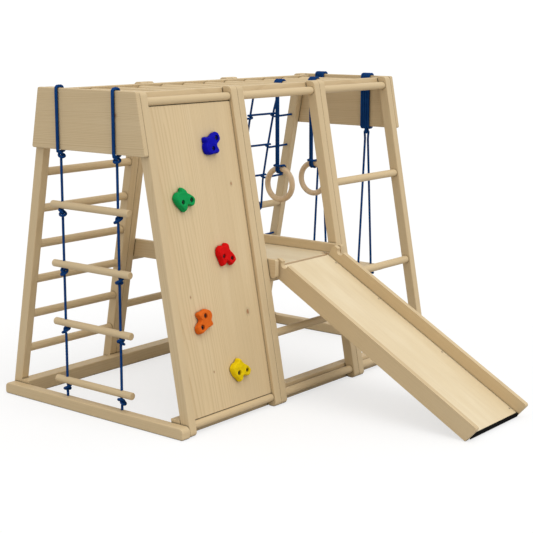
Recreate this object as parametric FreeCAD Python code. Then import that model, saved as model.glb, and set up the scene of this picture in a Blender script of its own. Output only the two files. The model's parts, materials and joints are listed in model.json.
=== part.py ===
import FreeCAD, Part
import math
import os

# Indoor wooden climbing frame: three bays of leaning posts, with a climbing panel,
# a wall-bar ladder, a platform with a chute, a net, a rope ladder, gym rings and a swing.
# Frame: origin on the floor, at the middle of the underside of the front floor rail,
# +X along the row of bays, +Y towards the back, +Z up. Millimetres.
# The pieces are drawn about the middle of the footprint, where front and back mirror
# each other, and save() moves them all by the same step onto the origin.

os.makedirs("parts", exist_ok=True)

V = FreeCAD.Vector
ALONG_X, ALONG_Y, ALONG_Z = V(1, 0, 0), V(0, 1, 0), V(0, 0, 1)

# ---- driving dimensions -------------------------------------------------------------
HEIGHT = 1300.0            # floor to the top of the posts
BASE_DEPTH = 1030.0        # front foot to back foot
TOP_DEPTH = 545.0          # front face to back face at the top
BAY = 558.0                # pitch of the three bays
POST_WIDTH = 38.0          # along X
POST_DEPTH = 47.0          # front to back
ROD_RADIUS = 17.0
ROD_SETBACK = 24.0         # rod axis behind the front face of its post
ROD_SOCKET = 20.0          # depth of the blind socket in a post
FOOT_ROD_Z = 38.0
TOP_ROD_Z = 1258.0
RUNG_STEPS = 8             # equal steps from the foot rod to the top rod
STEP_ROD_Z = 286.0
BOARD = 22.0               # thickness of the boards
FLOOR_RAIL = 47.0          # depth of the two long rails on the floor
FLOOR_RAIL_TOP = 61.0
PLATFORM_ROD_Z = 512.0
DECK_TOP_Z = 556.0
GUARD_BOTTOM_Z = 518.0
GUARD_TOP_Z = 596.0
END_BOARD_HEIGHT = 242.0
BASE_RAIL_WIDTH = 44.5
BASE_RAIL_HEIGHT = 47.0
CHUTE_ANGLE = 29.5         # slope of the chute, degrees
CHUTE_WIDTH = 412.0        # over the two side boards
CHUTE_FOOT_Y = -1335.0     # where the underside of the side boards meets the floor
CHUTE_SIDE = 75.0          # height of a side board, square to the slope
ROPE = 6.0                 # radius of the rope wound round the end boards
HANG_ROPE = 5.3            # radius of the rope that hangs under load
CORD = 4.8                 # radius of the net cord
STRAP = 5.2                # radius of the ring strap rope
LADDER_HALF = 157.0        # half the spacing of the ladder ropes
SWING_HALF = 137.0         # half the spacing of the swing slings
SWING_TOP_Z = 1039.0       # the swing turns about the bights under the slings
SEAT_TOP_Z = 375.0
BAR_RADIUS = 15.0
BAR_Z = 1272.0             # axis height of the overhead bars
RING_RADIUS = 72.0         # centre line of a gym ring
RING_TUBE = 13.0
RING_Z = 815.0
SLACK = 0.1                # radial play of rods in their sockets
TOUCH = 0.2                # gap left between pieces that bear on each other

LEAN = (BASE_DEPTH - TOP_DEPTH) / 2.0 / HEIGHT
LEAN_ANGLE = math.degrees(math.atan(LEAN))
RUNG_PITCH = (TOP_ROD_Z - FOOT_ROD_Z) / RUNG_STEPS
END_X = 1.5 * BAY
END_BOARD_MID_X = END_X + BOARD / 2.0
BAR_PITCH = BAY / 4.0
PANEL_SETBACK = 17.0
PANEL = 18.0
FLOOR_RAIL_MID_Y = -BASE_DEPTH / 2.0 + POST_DEPTH + TOUCH + FLOOR_RAIL / 2.0
TO_ORIGIN = V(0, -FLOOR_RAIL_MID_Y, 0)


# ---- helpers ------------------------------------------------------------------------
def front(z):
    """Y of the front face of the posts at height z; the back face is its mirror."""
    return -BASE_DEPTH / 2.0 + LEAN * z


def rod_y(z):
    """Y of the axis of a front rod at height z."""
    return front(z) + ROD_SETBACK


def save(name, pieces):
    """Write one node from a solid or from a list of separate solids."""
    if not isinstance(pieces, list):
        pieces = [pieces]
    solids = [solid for piece in pieces for solid in piece.Solids]
    for solid in solids:
        if not solid.isValid():
            raise RuntimeError(name + " has a solid that is not valid")
    shape = solids[0].copy() if len(solids) == 1 else Part.makeCompound(solids)
    shape.translate(TO_ORIGIN)
    shape.exportStep("parts/" + name + ".step")
    print("%-22s solids %3d  volume %.1f cm3" % (name, len(solids), shape.Volume / 1000.0))


def prism(outline, x0, x1):
    """Solid with an outline of (y, z) corners, between two X planes."""
    corners = [V(x0, y, z) for y, z in outline]
    face = Part.Face(Part.makePolygon(corners + corners[:1]))
    return face.extrude(V(x1 - x0, 0, 0))


def block(x0, x1, y0, y1, z0, z1):
    return Part.makeBox(x1 - x0, y1 - y0, z1 - z0, V(x0, y0, z0))


def rod(start, end, radius):
    return Part.makeCylinder(radius, (end - start).Length, start, end - start)


def ball(centre, radius):
    return Part.makeSphere(radius, centre)


def fuse(pieces):
    body = pieces[0].multiFuse(pieces[1:])
    return body.removeSplitter()


def mirror_y(shape):
    """The same piece on the back side."""
    return shape.mirror(V(0, 0, 0), ALONG_Y)


def edges_where(shape, test):
    return [edge for edge in shape.Edges if test(edge)]


def is_flat_in_x(edge):
    """True for an edge that lies in a plane of constant X."""
    return edge.BoundBox.XLength < 1e-4


def runs_along(edge, axis):
    """True for a straight edge that runs along the axis."""
    if edge.Curve.TypeId != "Part::GeomLine":
        return False
    return abs(edge.tangentAt(edge.FirstParameter).dot(axis)) > 0.9999


def soften_sides(shape, radius):
    """Round the outline edges on both X faces of a piece."""
    return shape.makeFillet(radius, edges_where(shape, is_flat_in_x))


def round_corner(shape, y, z, radius):
    """Round the edge along X that passes through (y, z)."""
    def here(edge):
        if not runs_along(edge, ALONG_X):
            return False
        middle = edge.CenterOfMass
        return abs(middle.y - y) < 0.5 and abs(middle.z - z) < 0.5
    return shape.makeFillet(radius, edges_where(shape, here))


def leaning(z0, z1, setback, thickness):
    """Outline of a slab that leans with the posts, setback behind the front face."""
    near0 = front(z0) + setback
    near1 = front(z1) + setback
    return [(near0, z0), (near0 + thickness, z0), (near1 + thickness, z1), (near1, z1)]


# ---- posts --------------------------------------------------------------------------
def left_edges():
    """X of the left face of the six posts of a row, from left to right."""
    starts = []
    for bay in range(3):
        bay_left = -END_X + bay * BAY
        starts.append(bay_left)
        starts.append(bay_left + BAY - POST_WIDTH)
    return starts


POST_X = left_edges()
SCREW_HEIGHTS = [115.0, 1181.0]

rung_heights = [FOOT_ROD_Z + step * RUNG_PITCH for step in range(RUNG_STEPS + 1)]
end_heights = [FOOT_ROD_Z, TOP_ROD_Z]
middle_heights = [FOOT_ROD_Z, STEP_ROD_Z, PLATFORM_ROD_Z, TOP_ROD_Z]
wide_step = (TOP_ROD_Z - FOOT_ROD_Z) / 3.0
front_rods = [
    end_heights,
    middle_heights,
    [FOOT_ROD_Z + step * wide_step for step in range(4)],
]
NET_STEP = 8.0             # the middle of a net row sits this much above its height
NET_ROD = 4                # the step of the ladder grid that is a rod in the net bay
back_rods = [
    rung_heights,
    middle_heights,
    [rung_heights[0], rung_heights[NET_ROD], rung_heights[RUNG_STEPS]],
]
net_rows = [rung_heights[step] for step in (1, 2, 3, 5, 6, 7)]


def post_screw(pair_x, z):
    """Screw that joins two posts back to back, driven from the right; returns both
    the screw and the hole it needs."""
    y = rod_y(z)
    head_x = pair_x + POST_WIDTH
    tip_x = pair_x - 26.0
    screw = rod(V(tip_x, y, z), V(head_x - 4.0, y, z), 4.0)
    screw = screw.fuse(rod(V(head_x - 8.0, y, z), V(head_x - 2.0, y, z), 8.0))
    socket = rod(V(head_x - 7.0, y, z), V(head_x - 2.0, y, z), 2.5)
    hole = rod(V(tip_x - 1.0, y, z), V(head_x + 1.0, y, z), 4.0 + SLACK)
    hole = hole.fuse(rod(V(head_x - 8.2, y, z), V(head_x + 1.0, y, z), 8.5))
    return screw.cut(socket), hole


def post(index, heights, cords):
    """One front post with its rod sockets and cord holes."""
    x0 = POST_X[index]
    x1 = x0 + POST_WIDTH
    body = prism(leaning(0.0, HEIGHT, 0.0, POST_DEPTH), x0, x1)
    body = round_corner(body, front(0), 0, 18.0)
    body = round_corner(body, front(0) + POST_DEPTH, 0, 14.0)
    body = round_corner(body, front(HEIGHT), HEIGHT, 20.0)
    body = round_corner(body, front(HEIGHT) + POST_DEPTH, HEIGHT, 8.0)
    body = soften_sides(body, 4.0)
    opens_right = index % 2 == 0
    cuts = []
    for z in heights:
        inner = x1 if opens_right else x0
        floor = inner - ROD_SOCKET if opens_right else inner + ROD_SOCKET
        mouth = inner + 1.0 if opens_right else inner - 1.0
        cuts.append(rod(V(floor, rod_y(z), z), V(mouth, rod_y(z), z), ROD_RADIUS + SLACK))
    for row_z in cords:
        z = row_z - NET_STEP
        inner = x1 if opens_right else x0
        floor = inner - 14.0 if opens_right else inner + 14.0
        mouth = inner + 1.0 if opens_right else inner - 1.0
        cuts.append(rod(V(floor, rod_y(z), z), V(mouth, rod_y(z), z), CORD + SLACK))
    for pair_x in (-BAY / 2.0, BAY / 2.0):
        if abs(pair_x - x0) < 1.0 or abs(pair_x - x1) < 1.0:
            cuts.extend(post_screw(pair_x, z)[1] for z in SCREW_HEIGHTS)
    return body.cut(Part.makeCompound(cuts))


for index in range(6):
    bay = index // 2
    save("post_front_%d" % (index + 1), post(index, front_rods[bay], []))
    cords = net_rows if bay == 2 else []
    save("post_back_%d" % (index + 1), mirror_y(post(index, back_rods[bay], cords)))

screws = []
for pair_x in (-BAY / 2.0, BAY / 2.0):
    for z in SCREW_HEIGHTS:
        screw = post_screw(pair_x, z)[0]
        screws.append(screw)
        screws.append(mirror_y(screw))
save("post_screws", screws)


# ---- rods between the posts ---------------------------------------------------------
def bay_rod(bay, z, back):
    """Rod that spans one bay, seated in the sockets of its two posts."""
    left = -END_X + bay * BAY + POST_WIDTH - ROD_SOCKET + 0.5
    right = -END_X + (bay + 1) * BAY - POST_WIDTH + ROD_SOCKET - 0.5
    y = -rod_y(z) if back else rod_y(z)
    body = rod(V(left, y, z), V(right, y, z), ROD_RADIUS)
    return body.makeChamfer(2.0, edges_where(body, is_flat_in_x))


save("rods_top", [bay_rod(bay, TOP_ROD_Z, False) for bay in range(3)]
     + [bay_rod(bay, TOP_ROD_Z, True) for bay in (1, 2)])
save("rods_foot", [bay_rod(bay, FOOT_ROD_Z, False) for bay in range(3)]
     + [bay_rod(bay, FOOT_ROD_Z, True) for bay in (1, 2)])
save("rungs_left_back", [bay_rod(0, z, True) for z in rung_heights])
save("rungs_right_front", [bay_rod(2, z, False) for z in front_rods[2][1:3]])
save("rods_middle", [bay_rod(1, z, back) for z in middle_heights[1:3] for back in (False, True)])
save("rod_net", bay_rod(2, rung_heights[NET_ROD], True))


# ---- long rails, overhead bars, end boards and base rails ---------------------------
TOP_RAIL_TOP = 1294.0
TOP_RAIL_BOTTOM = 1246.0
BAR_SOCKET = 14.0
behind_posts = POST_DEPTH + TOUCH

bar_x = [-END_X + (place + 0.5) * BAR_PITCH for place in range(12)]
rail_face_y = front(BAR_Z) + behind_posts + BOARD
bar_end_y = rail_face_y - BAR_SOCKET

sockets = []
for x in bar_x:
    sockets.append(rod(V(x, bar_end_y - 0.5, BAR_Z), V(x, 0, BAR_Z), BAR_RADIUS + SLACK))

top_rail = prism(leaning(TOP_RAIL_BOTTOM, TOP_RAIL_TOP, behind_posts, BOARD), -END_X, END_X)
top_rail = top_rail.makeFillet(4.0, edges_where(top_rail, lambda e: runs_along(e, ALONG_X)))
top_rail = top_rail.cut(Part.makeCompound(sockets))
save("rail_top_front", top_rail)
save("rail_top_back", mirror_y(top_rail))

floor_rail = prism(leaning(0.0, FLOOR_RAIL_TOP, behind_posts, FLOOR_RAIL), -END_X, END_X)
floor_rail = floor_rail.makeFillet(3.0, edges_where(floor_rail, lambda e: runs_along(e, ALONG_X)))
save("rail_floor_front", floor_rail)
save("rail_floor_back", mirror_y(floor_rail))

save("bars_overhead", [rod(V(x, bar_end_y, BAR_Z), V(x, -bar_end_y, BAR_Z), BAR_RADIUS)
                       for x in bar_x])


def end_board(x0):
    """Board across the top of one end, with the slope of the posts on both sides."""
    low = HEIGHT - END_BOARD_HEIGHT
    outline = [(front(low), low), (-front(low), low), (-front(HEIGHT), HEIGHT),
               (front(HEIGHT), HEIGHT)]
    body = prism(outline, x0, x0 + BOARD)
    for y, z in outline:
        body = round_corner(body, y, z, 8.0)
    return soften_sides(body, 4.0)


save("board_end_left", end_board(-END_X - BOARD))
save("board_end_right", end_board(END_X))


def base_rail(x0, x1):
    """Rail on the floor outside the posts, from the front foot to the back foot."""
    reach = BASE_DEPTH / 2.0 - 3.0
    body = block(x0, x1, -reach, reach, 0.0, BASE_RAIL_HEIGHT)
    for y in (-reach, reach):
        body = round_corner(body, y, BASE_RAIL_HEIGHT, 20.0)
        body = round_corner(body, y, 0.0, 10.0)
    return soften_sides(body, 5.0)


anchor_z = 18.0
anchors = [rod(V(-END_BOARD_MID_X, y, anchor_z - 0.5), V(-END_BOARD_MID_X, y, 60.0), HANG_ROPE + SLACK)
           for y in (-LADDER_HALF, LADDER_HALF)]
left_rail = base_rail(-END_X - BASE_RAIL_WIDTH, -END_X)
save("rail_base_left", left_rail.cut(Part.makeCompound(anchors)))
save("rail_base_right", base_rail(END_X, END_X + BASE_RAIL_WIDTH))


# ---- climbing panel and its holds ---------------------------------------------------
PANEL_X0 = -END_X + POST_WIDTH + 0.5
PANEL_X1 = -END_X + BAY - POST_WIDTH - 0.5
PANEL_Z0 = FOOT_ROD_Z + ROD_RADIUS + 2.0
PANEL_Z1 = TOP_ROD_Z - ROD_RADIUS - 0.6

# Each hold: name, distance right of the panel middle, height, turn in degrees.
HOLDS = [
    ("blue", 87.0, 1082.0, 52.0),
    ("green", -115.0, 879.5, 0.0),
    ("red", 73.5, 639.5, -23.0),
    ("orange", -113.5, 411.0, 235.5),
    ("yellow", 63.5, 187.5, -3.0),
]
HOLD_BOLTS = [(-23.0, -7.5), (25.5, -3.0)]
HOLD_DEPTH = 24.0
HEAD_SEAT = 9.0            # the bolt head bears this far in front of the panel
HEAD_WELL = 10.0           # radius of the well round the bolt head

# Outline of a hold seen from the front: a broad lobe, a narrow lobe and a notch.
HOLD_OUTLINE = [
    (-14, 50), (-19, 46), (-23, 38), (-42, 33), (-50, 26), (-57, 15), (-56, 2),
    (-47, -14), (-28, -34), (-13, -45), (-6, -38), (0, -21), (19, -23), (38, -27),
    (50, -14), (54, -2), (44, 11), (24, 22), (7, 33), (-2, 46),
]


def on_panel(shape, x, z, turn):
    """Move a piece drawn on the XY plane, facing +Z, onto the panel front."""
    placed = shape.copy()
    placed.rotate(V(0, 0, 0), ALONG_Z, turn)
    placed.rotate(V(0, 0, 0), ALONG_X, 90.0 - LEAN_ANGLE)
    placed.translate(V(x, front(z) + PANEL_SETBACK, z))
    return placed


def hold_ring(scale, height):
    """Closed smooth curve of the hold outline at one distance from the panel."""
    curve = Part.BSplineCurve()
    points = [V(u * scale - (1.0 - scale) * 6.0, v * scale, height) for u, v in HOLD_OUTLINE]
    curve.interpolate(Points=points, PeriodicFlag=True)
    return Part.Wire([curve.toShape()])


def hold_body():
    layers = [(0.985, 0.0), (1.0, 5.0), (0.985, 12.0), (0.94, 18.0), (0.84, HOLD_DEPTH)]
    body = Part.makeLoft([hold_ring(scale, height) for scale, height in layers], True, False)
    cuts = []
    for u, v in HOLD_BOLTS:
        cuts.append(rod(V(u, v, -1), V(u, v, HOLD_DEPTH + 1), 4.3))
        cuts.append(rod(V(u, v, HEAD_SEAT), V(u, v, HOLD_DEPTH + 1), HEAD_WELL))
    return body.cut(Part.makeCompound(cuts))


def hold_bolt(u, v):
    """Cap-head bolt with a hexagon socket; its head bears inside the hold."""
    seat = HEAD_SEAT + TOUCH
    shank = rod(V(u, v, -PANEL - 8.0), V(u, v, seat + 2.0), 4.0)
    head = rod(V(u, v, seat), V(u, v, seat + 8.0), 7.0)
    corners = [V(u + 3.4 * math.cos(math.radians(60 * k)), v + 3.4 * math.sin(math.radians(60 * k)),
                 seat + 4.0) for k in range(7)]
    socket = Part.Face(Part.makePolygon(corners)).extrude(V(0, 0, 6.0))
    return shank.fuse(head).cut(socket)


def hold_nut(u, v):
    """Flanged nut let into the back of the panel."""
    barrel = rod(V(u, v, -PANEL - 0.1), V(u, v, -PANEL + 9.0), 5.2)
    flange = rod(V(u, v, -PANEL - 2.2), V(u, v, -PANEL - TOUCH / 2.0), 11.0)
    bore = rod(V(u, v, -PANEL - 4.0), V(u, v, 0.0), 4.0 + SLACK)
    return barrel.fuse(flange).cut(bore)


panel = prism(leaning(PANEL_Z0, PANEL_Z1, PANEL_SETBACK, PANEL), PANEL_X0, PANEL_X1)
panel = panel.makeChamfer(1.5, edges_where(panel, lambda e: runs_along(e, ALONG_X)))
panel_mid_x = (PANEL_X0 + PANEL_X1) / 2.0

bolts = []
nuts = []
bores = []
for name, offset, z, turn in HOLDS:
    x = panel_mid_x + offset
    body = on_panel(hold_body(), x, z, turn)
    body.translate(V(0, -TOUCH, 0))
    save("hold_" + name, body)
    for u, v in HOLD_BOLTS:
        bolts.append(on_panel(hold_bolt(u, v), x, z, turn))
        nuts.append(on_panel(hold_nut(u, v), x, z, turn))
        bores.append(on_panel(rod(V(u, v, -PANEL - 5), V(u, v, 5), 5.3), x, z, turn))
save("panel_climbing", panel.cut(Part.makeCompound(bores)))
save("hold_bolts", bolts)
save("hold_nuts", nuts)

cleat_setback = PANEL_SETBACK + PANEL + TOUCH
cleat = prism(leaning(90.0, 1200.0, cleat_setback, 18.0), PANEL_X0, PANEL_X0 + 18.0)
cleat = cleat.makeFillet(2.0, cleat.Edges)
other_cleat = cleat.copy()
other_cleat.translate(V(PANEL_X1 - PANEL_X0 - 18.0, 0, 0))
save("panel_cleats", [cleat, other_cleat])


# ---- platform in the middle bay -----------------------------------------------------
GUARD_OUT_X = BAY / 2.0 - POST_WIDTH - 0.5
GUARD_IN_X = GUARD_OUT_X - BOARD + 0.5
GUARD_REACH = 446.0        # the guards run past the posts at front and back
DECK = 18.0
DECK_FRONT = 390.0
HOOK_NOTCH = 28.0          # depth of the deck notches for the chute hooks
chute_half = CHUTE_WIDTH / 2.0


def saddle(side):
    """Cutter for the round seat of a board that sits over a platform rod."""
    y = side * rod_y(PLATFORM_ROD_Z)
    return rod(V(-400, y, PLATFORM_ROD_Z), V(400, y, PLATFORM_ROD_Z), ROD_RADIUS + SLACK)


def guard(x0, x1):
    outline = [(-GUARD_REACH, GUARD_BOTTOM_Z), (GUARD_REACH, GUARD_BOTTOM_Z),
               (GUARD_REACH, GUARD_TOP_Z), (-GUARD_REACH, GUARD_TOP_Z)]
    body = prism(outline, x0, x1)
    for y in (-GUARD_REACH, GUARD_REACH):
        body = round_corner(body, y, GUARD_BOTTOM_Z, 14.0)
        body = round_corner(body, y, GUARD_TOP_Z, 8.0)
    body = soften_sides(body, 3.0)
    return body.cut(Part.makeCompound([saddle(1), saddle(-1)]))


save("guard_left", guard(-GUARD_OUT_X, -GUARD_IN_X))
save("guard_right", guard(GUARD_IN_X, GUARD_OUT_X))

deck_half = GUARD_IN_X - 0.5
deck = block(-deck_half, deck_half, -DECK_FRONT, DECK_FRONT, DECK_TOP_Z - DECK, DECK_TOP_Z)
deck = deck.makeFillet(2.0, edges_where(deck, lambda e: runs_along(e, ALONG_X)))
notches = []
for side in (-1, 1):
    inner = side * (chute_half - BOARD - 3.0)
    outer = side * (chute_half + 3.0)
    notches.append(block(min(inner, outer), max(inner, outer), -DECK_FRONT - 5.0,
                         -DECK_FRONT + HOOK_NOTCH, DECK_TOP_Z - DECK - 5.0, DECK_TOP_Z + 5.0))
save("deck", deck.cut(Part.makeCompound(notches)))

bearer_x = GUARD_IN_X - TOUCH
bearer = block(bearer_x - 20.0, bearer_x, -350.0, 350.0, GUARD_BOTTOM_Z, DECK_TOP_Z - DECK - TOUCH)
bearer = bearer.makeFillet(2.0, bearer.Edges)
save("deck_bearers", [bearer, bearer.mirror(V(0, 0, 0), ALONG_X)])


# ---- chute --------------------------------------------------------------------------
# Drawn flat: Y runs up the slope from the foot, Z is square to the slope.
CHUTE_FOOT_U = -6.5
CHUTE_FOOT_RAKE = -9.5     # the top corner of the foot, past the foot edge
CHUTE_HEAD_U = 1083.0
BED = 9.0
BED_BOTTOM = 13.0
HOOK_U = 1101.0
HOOK_TOP = 10.0
HOOK_BOTTOM = -30.0
SPARE_NOTCH_U = 1040.0
SPARE_NOTCH_V = 71.0
angle = math.radians(CHUTE_ANGLE)
hook_dy = rod_y(PLATFORM_ROD_Z) - CHUTE_FOOT_Y
ROD_U = hook_dy * math.cos(angle) + PLATFORM_ROD_Z * math.sin(angle)
ROD_V = PLATFORM_ROD_Z * math.cos(angle) - hook_dy * math.sin(angle)


def on_slope(shape):
    """Lay a piece drawn flat onto the slope of the chute."""
    placed = shape.copy()
    placed.rotate(V(0, 0, 0), ALONG_X, CHUTE_ANGLE)
    placed.translate(V(0, CHUTE_FOOT_Y, 0))
    return placed


def chute_side(x0, x1):
    foot_top = CHUTE_FOOT_U + CHUTE_FOOT_RAKE
    outline = [(CHUTE_FOOT_U + 6.5, 0.0), (ROD_U + 4.0, 0.0), (ROD_U + 4.0, HOOK_BOTTOM),
               (HOOK_U, HOOK_BOTTOM), (HOOK_U, HOOK_TOP), (CHUTE_HEAD_U, HOOK_TOP),
               (CHUTE_HEAD_U, CHUTE_SIDE), (foot_top, CHUTE_SIDE)]
    body = prism(outline, x0, x1)
    body = round_corner(body, foot_top, CHUTE_SIDE, 10.0)
    body = round_corner(body, CHUTE_HEAD_U, CHUTE_SIDE, 8.0)
    body = round_corner(body, HOOK_U, HOOK_TOP, 4.0)
    body = round_corner(body, HOOK_U, HOOK_BOTTOM, 5.0)
    spare = rod(V(x0 - 5, SPARE_NOTCH_U, SPARE_NOTCH_V), V(x1 + 5, SPARE_NOTCH_U, SPARE_NOTCH_V),
                ROD_RADIUS)
    seat = rod(V(x0 - 5, ROD_U, ROD_V), V(x1 + 5, ROD_U, ROD_V), ROD_RADIUS + SLACK)
    body = body.cut(Part.makeCompound([spare, seat]))
    body = on_slope(body)
    return body.cut(block(-500, 500, -1600, -1200, -100, TOUCH))


save("chute_side_left", chute_side(-chute_half, -chute_half + BOARD))
save("chute_side_right", chute_side(chute_half - BOARD, chute_half))

bed_half = chute_half - BOARD - TOUCH
BATTEN_U = [14.0, 380.0, 746.0, 1006.0]
BATTEN = 40.0
SCREW_X = bed_half - 12.0


def chute_screw(x, u):
    """Countersunk screw with a cross recess, and the hole it needs."""
    top = BED_BOTTOM + BED
    head = Part.makeCone(1.8, 4.0, 3.0, V(x, u, top - 3.1), ALONG_Z)
    shank = rod(V(x, u, 2.0), V(x, u, top - 3.0), 1.8)
    screw = head.fuse(shank)
    screw = screw.cut(block(x - 2.2, x + 2.2, u - 0.4, u + 0.4, top - 1.3, top))
    screw = screw.cut(block(x - 0.4, x + 0.4, u - 2.2, u + 2.2, top - 1.3, top))
    hole = Part.makeCone(2.0, 4.3, 3.2, V(x, u, top - 3.2), ALONG_Z)
    hole = hole.fuse(rod(V(x, u, 1.0), V(x, u, top - 3.0), 2.0))
    return screw, hole


pairs = [chute_screw(side * SCREW_X, u + BATTEN / 2.0) for u in BATTEN_U for side in (-1, 1)]
holes = Part.makeCompound([hole for screw, hole in pairs])
save("chute_screws", [on_slope(screw) for screw, hole in pairs])

bed = block(-bed_half, bed_half, CHUTE_FOOT_U + 3.5, CHUTE_HEAD_U, BED_BOTTOM,
            BED_BOTTOM + BED)
save("chute_bed", on_slope(bed.cut(holes)))

battens = []
for u in BATTEN_U:
    batten = block(-bed_half, bed_half, u, u + BATTEN, 0.0, BED_BOTTOM - TOUCH)
    batten = batten.makeFillet(2.0, edges_where(batten, lambda e: runs_along(e, ALONG_X)))
    battens.append(on_slope(batten.cut(holes)))
save("chute_battens", battens)

STRIP = 3.3                # thickness of the strip on the bed's end
STRIP_LIP = 1.6            # thickness of its lip on top of the bed
bed_top = BED_BOTTOM + BED
strip = block(-bed_half, bed_half, CHUTE_FOOT_U, CHUTE_FOOT_U + STRIP, BED_BOTTOM - 5.0,
              bed_top + STRIP_LIP)
strip = strip.fuse(block(-bed_half, bed_half, CHUTE_FOOT_U, CHUTE_FOOT_U + 10.0,
                         bed_top + 0.1, bed_top + STRIP_LIP)).removeSplitter()


def is_strip_rim(edge):
    """True for the long edges of the strip other than the inner corner that hugs the bed."""
    middle = edge.CenterOfMass
    inner = middle.y > CHUTE_FOOT_U + 3.0 and middle.z < bed_top + 0.5
    return runs_along(edge, ALONG_X) and not (inner and middle.z > bed_top - 1.0)


strip = strip.makeFillet(0.6, edges_where(strip, is_strip_rim))
save("chute_grip_strip", on_slope(strip))


# ---- rope that hangs from the end boards --------------------------------------------
def board_loop(mid_x, y):
    """Closed loop of rope round an end board, in an XZ plane."""
    away = ROPE + 0.5
    half = BOARD / 2.0 + away
    top = HEIGHT + away
    bottom = HEIGHT - END_BOARD_HEIGHT - away
    bend = 10.0
    rest = bend * (1.0 - math.sqrt(0.5))
    x0, x1 = mid_x - half, mid_x + half
    path = [
        Part.LineSegment(V(x0, y, bottom + bend), V(x0, y, top - bend)),
        Part.Arc(V(x0, y, top - bend), V(x0 + rest, y, top - rest), V(x0 + bend, y, top)),
        Part.LineSegment(V(x0 + bend, y, top), V(x1 - bend, y, top)),
        Part.Arc(V(x1 - bend, y, top), V(x1 - rest, y, top - rest), V(x1, y, top - bend)),
        Part.LineSegment(V(x1, y, top - bend), V(x1, y, bottom + bend)),
        Part.Arc(V(x1, y, bottom + bend), V(x1 - rest, y, bottom + rest), V(x1 - bend, y, bottom)),
        Part.LineSegment(V(x1 - bend, y, bottom), V(x0 + bend, y, bottom)),
        Part.Arc(V(x0 + bend, y, bottom), V(x0 + rest, y, bottom + rest), V(x0, y, bottom + bend)),
    ]
    wire = Part.Wire([piece.toShape() for piece in path])
    circle = Part.Wire([Part.makeCircle(ROPE, V(x0, y, bottom + bend), ALONG_Z)])
    return wire.makePipeShell([circle], True, False)


def rope_knot(x, y, top, radius, height):
    """Stopper knot: broad and flat under the piece it bears on, tapering to the rope."""
    profile = [(0.0, 0.0), (0.8, 0.0), (1.0, -0.2), (0.95, -0.5), (0.45, -1.0), (0.0, -1.0)]
    corners = [V(x + radius * out, y, top + height * down) for out, down in profile]
    face = Part.Face(Part.makePolygon(corners + corners[:1]))
    return face.revolve(V(x, y, top), ALONG_Z, 360)


# ---- rope ladder on the left end ----------------------------------------------------
LADDER_PITCH = 241.0
LADDER_LOW_Z = 113.0
LADDER_RUNG_RADIUS = 15.0
LADDER_RUNG_HALF = 217.0
KNOT = 16.5                # radius of a stopper knot
ladder_x = -END_BOARD_MID_X
ladder_heights = [LADDER_LOW_Z + step * LADDER_PITCH for step in range(4)]

ladder_ropes = []
for y in (-LADDER_HALF, LADDER_HALF):
    board_bottom = HEIGHT - END_BOARD_HEIGHT
    pieces = [board_loop(ladder_x, y), rope_knot(ladder_x, y, board_bottom - ROPE, KNOT, 29.0),
              rod(V(ladder_x, y, anchor_z), V(ladder_x, y, board_bottom - ROPE), HANG_ROPE)]
    for z in ladder_heights:
        pieces.append(rope_knot(ladder_x, y, z - LADDER_RUNG_RADIUS - TOUCH, KNOT, 29.0))
    ladder_ropes.append(fuse(pieces))
save("ladder_ropes", ladder_ropes)

ladder_rungs = []
for z in ladder_heights:
    rung = rod(V(ladder_x, -LADDER_RUNG_HALF, z), V(ladder_x, LADDER_RUNG_HALF, z),
               LADDER_RUNG_RADIUS)
    rung = rung.makeFillet(4.0, edges_where(rung, lambda e: e.BoundBox.YLength < 1e-4))
    for y in (-LADDER_HALF, LADDER_HALF):
        rung = rung.cut(rod(V(ladder_x, y, z - 20), V(ladder_x, y, z + 20), HANG_ROPE + 0.3))
    ladder_rungs.append(rung)
save("ladder_rungs", ladder_rungs)


# ---- net in the back of the right bay -----------------------------------------------
net_left = BAY / 2.0 + POST_WIDTH
net_right = END_X - POST_WIDTH
net_span = net_right - net_left
net_columns = [net_left + net_span / 3.0, net_left + 2.0 * net_span / 3.0]
loop_radius = ROD_RADIUS + 0.4 + CORD
NET_KNOT = 7.5


def back_point(x, z):
    return V(x, -rod_y(z), z)


def cord_run(x, low, high):
    """Upright cord between the loops round two rods."""
    upright = back_point(x, high) - back_point(x, low)
    upright.normalize()
    start = back_point(x, low) + upright * loop_radius
    end = back_point(x, high) - upright * loop_radius
    return rod(start, end, CORD)


net = []
for z in net_rows:
    low, high = z - NET_STEP, z + NET_STEP
    net.append(rod(back_point(net_left - 12.0, low), back_point(net_columns[0], low), CORD))
    net.append(rod(back_point(net_columns[0], high), back_point(net_columns[1], high), CORD))
    net.append(rod(back_point(net_columns[1], low), back_point(net_right + 12.0, low), CORD))
for x in net_columns:
    for z in back_rods[2]:
        net.append(Part.makeTorus(loop_radius, CORD, back_point(x, z), ALONG_X))
    net.append(cord_run(x, back_rods[2][0], back_rods[2][1]))
    net.append(cord_run(x, back_rods[2][1], back_rods[2][2]))
    for z in net_rows:
        bottom, top = back_point(x, z - NET_STEP), back_point(x, z + NET_STEP)
        net.extend([rod(bottom, top, NET_KNOT), ball(bottom, NET_KNOT), ball(top, NET_KNOT)])
squeeze = TOUCH + 0.1      # the loops are pressed flat between their rod and the rail
near_rails = [prism(leaning(z0, z1, behind_posts - squeeze, BOARD), net_left, net_right)
              for z0, z1 in ((0.0, 90.0), (1220.0, HEIGHT))]
save("net", fuse(net).cut(mirror_y(Part.makeCompound(near_rails))))


# ---- gym rings ----------------------------------------------------------------------
RING_TOP = RING_Z + RING_RADIUS    # height of the tube's middle where the rope hitches on
RINGS = [("left", 8, 0.0), ("right", 10, 17.0)]    # name, overhead bar, place along the bar
TURN_PITCH = 2.0 * STRAP + 0.4


def ring(x, y, larger=0.0):
    return Part.makeTorus(RING_RADIUS, RING_TUBE + larger, V(x, y, RING_Z), ALONG_X)


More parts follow.
